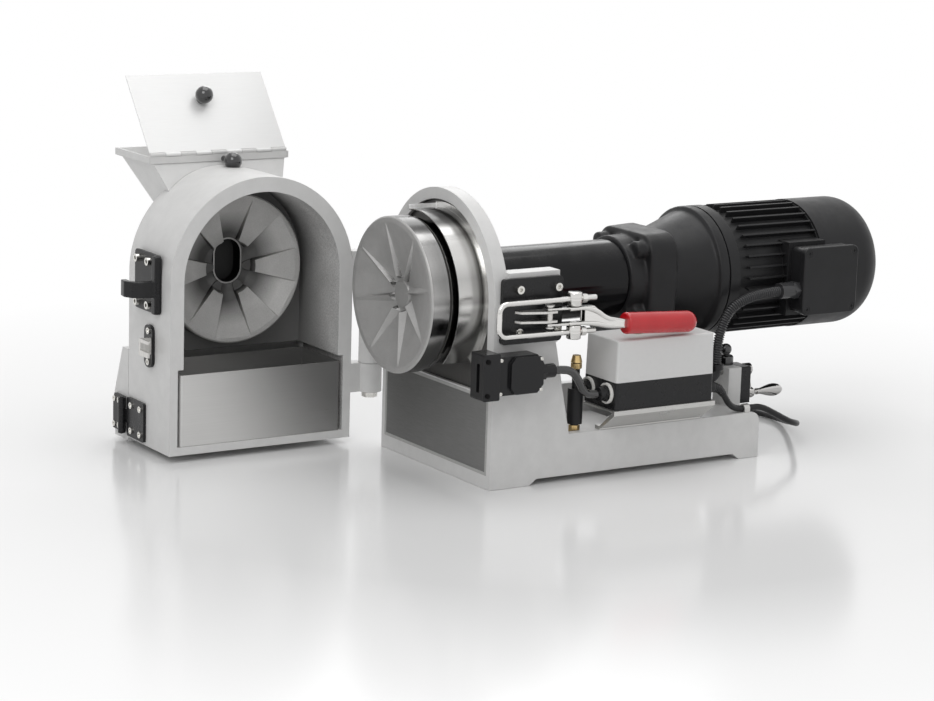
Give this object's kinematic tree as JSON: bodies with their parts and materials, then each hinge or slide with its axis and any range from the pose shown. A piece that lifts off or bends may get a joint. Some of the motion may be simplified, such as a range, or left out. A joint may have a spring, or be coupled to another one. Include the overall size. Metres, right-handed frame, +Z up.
{
  "type": "laboratory disc mill",
  "caption": "Bench disc mill, opened: hinged chamber door with hopper and vessel, turning grinding disc, toggle clamp, switch box, geared motor and gap crank",
  "frame": {"origin": "on the bench, under the axis of the grinding discs, in the plane where the shut chamber meets the body", "axes": "+Z up, +Y along the drive towards the motor, +X towards the clamp and the switch box"},
  "size_m": [0.5665, 1.0183, 0.4789],
  "materials": {
    "body_paint": "satin warm grey paint on castings",
    "disc_steel": "machined hardened steel, satin",
    "sheet_steel": "brushed stainless sheet",
    "lid_sheet": "bright brushed stainless sheet",
    "bright_steel": "bright plated steel",
    "crank_steel": "polished turned steel",
    "screw_steel": "zinc plated",
    "tube_gloss": "gloss black",
    "drive_black": "matt black paint on castings",
    "black_plastic": "moulded, fine grain",
    "black_gloss": "polished phenolic",
    "red_grip": "glossy moulded grip",
    "cover_grey": "light grey moulding",
    "cable_rubber": "smooth black sheath",
    "white_plastic": "moulded",
    "seal_rubber": "pale sealing strip",
    "brass_fit": "turned brass",
    "gear_steel": "ground steel",
    "green_button": "moulded",
    "red_button": "moulded"
  },
  "bodies": {
    "stand": {"base_frame": "body_paint", "front_panel": "sheet_steel", "panel_seal": "seal_rubber", "shroud": "sheet_steel", "hinge_pin": "screw_steel", "clamp_bracket": "black_plastic", "stand_screws": "screw_steel", "safety_switch": "black_plastic", "switch_cable": "cable_rubber", "switch_box_base": "black_plastic", "gland_rings": "white_plastic", "switch_box_cover": "cover_grey", "box_bracket": "bright_steel", "support_post": "drive_black", "post_fittings": "brass_fit", "conduit_elbow": "black_plastic", "spindle_block": "body_paint", "counter_block": "black_plastic", "mains_lead": "cable_rubber", "cable_clip": "bright_steel", "mains_cord": "cable_rubber", "mains_coil": "cable_rubber", "mains_plug": "cable_rubber"},
    "start_key": {"start_button": "green_button"},
    "stop_key": {"stop_button": "red_button"},
    "clamp": {"clamp_lever": "bright_steel", "clamp_grip": "red_grip"},
    "loop": {"clamp_loop": "bright_steel"},
    "door": {"door_housing": "body_paint", "fixed_disc": "disc_steel", "feed_chute": "disc_steel", "hopper": "body_paint", "lid_hinge_leaf": "lid_sheet", "rest_knob": "black_gloss", "flap_hinge": "black_plastic", "latch_hook": "drive_black", "interlock_key": "black_plastic", "side_screws": "screw_steel"},
    "lid": {"hopper_lid": "lid_sheet", "lid_knob": "black_gloss"},
    "flap": {"front_flap": "body_paint", "flap_leaf": "black_plastic", "flap_screws": "screw_steel"},
    "vessel": {"collecting_vessel": "sheet_steel"},
    "drive": {"bearing_tube": "tube_gloss", "shaft_bearings": "gear_steel", "gearbox": "drive_black", "motor_housing": "drive_black", "fan_cowl": "drive_black", "terminal_box": "drive_black", "drive_screws": "drive_black", "conduit_connector": "black_plastic", "motor_conduit": "black_plastic"},
    "rotor": {"grinding_rotor": "disc_steel", "rotor_drum": "disc_steel", "main_shaft": "gear_steel"},
    "lay": {"layshaft": "gear_steel"},
    "motor": {"motor_shaft": "gear_steel", "motor_fan": "black_plastic"},
    "crank": {"gap_crank": "crank_steel"},
    "crank_handle": {"crank_grip": "crank_steel"},
    "lock": {"lock_lever": "black_gloss"}
  },
  "joints": [
    {"name": "door_swing", "type": "hinge", "parent": "stand", "child": "door", "pos_m": [-0.1642, -0.0021, 0.162], "axis": [0, 0, -1], "range_deg": [-90, 30]},
    {"name": "lid_hinge", "type": "hinge", "parent": "door", "child": "lid", "pos_m": [-0.29, -0.1681, 0.3827], "axis": [0, 1, 0], "range_deg": [-51.7, 100]},
    {"name": "flap_hinge_turn", "type": "hinge", "parent": "door", "child": "flap", "pos_m": [-0.2907, -0.3068, 0.039], "axis": [0, 0, 1], "range_deg": [0, 110]},
    {"name": "vessel_slide", "type": "slide", "parent": "door", "child": "vessel", "axis": [1, 0, 0], "range_m": [0, 0.11]},
    {"name": "clamp_lever_turn", "type": "hinge", "parent": "stand", "child": "clamp", "pos_m": [0.152, 0.07, 0.2215], "axis": [0, 0, -1], "range_deg": [0, 120]},
    {"name": "clamp_loop_turn", "type": "hinge", "parent": "clamp", "child": "loop", "pos_m": [0.157, 0.10363, 0.2215], "axis": [0, 0, 1], "range_deg": [0, 120]},
    {"name": "gap_slide", "type": "slide", "parent": "stand", "child": "drive", "axis": [0, -1, 0], "range_m": [0, 0.005]},
    {"name": "disc_spin", "type": "hinge", "parent": "drive", "child": "rotor", "pos_m": [0, 0, 0.233], "axis": [0, 1, 0], "continuous": true},
    {"name": "layshaft_spin", "type": "hinge", "parent": "drive", "child": "lay", "pos_m": [0, 0.33, 0.185], "axis": [0, 1, 0], "continuous": true},
    {"name": "motor_spin", "type": "hinge", "parent": "drive", "child": "motor", "pos_m": [0, 0.5, 0.233], "axis": [0, 1, 0], "continuous": true},
    {"name": "crank_turn", "type": "hinge", "parent": "stand", "child": "crank", "pos_m": [0.075, 0.44, 0.107], "axis": [0, 1, 0], "range_deg": [0, 900]},
    {"name": "crank_handle_spin", "type": "hinge", "parent": "crank", "child": "crank_handle", "pos_m": [0.075, 0.48, 0.074], "axis": [0, 1, 0], "continuous": true},
    {"name": "lock_lever_turn", "type": "hinge", "parent": "stand", "child": "lock", "pos_m": [0.066, 0.419, 0.12], "axis": [0, 0, 1], "range_deg": [0, 90]},
    {"name": "start_press", "type": "slide", "parent": "stand", "child": "start_key", "axis": [0, 0, -1], "range_m": [0, 0.003], "stiffness_N_per_m": 600, "springref_m": -0.002},
    {"name": "stop_press", "type": "slide", "parent": "stand", "child": "stop_key", "axis": [0, 0, -1], "range_m": [0, 0.003], "stiffness_N_per_m": 600, "springref_m": -0.002}
  ],
  "couplings": [
    {"joint": "clamp_loop_turn", "follows": "clamp_lever_turn", "ratio": 1},
    {"joint": "layshaft_spin", "follows": "disc_spin", "ratio": -1.6667},
    {"joint": "motor_spin", "follows": "disc_spin", "ratio": 3.0392},
    {"joint": "crank_turn", "follows": "gap_slide", "rad_per_m": 3141.6}
  ]
}
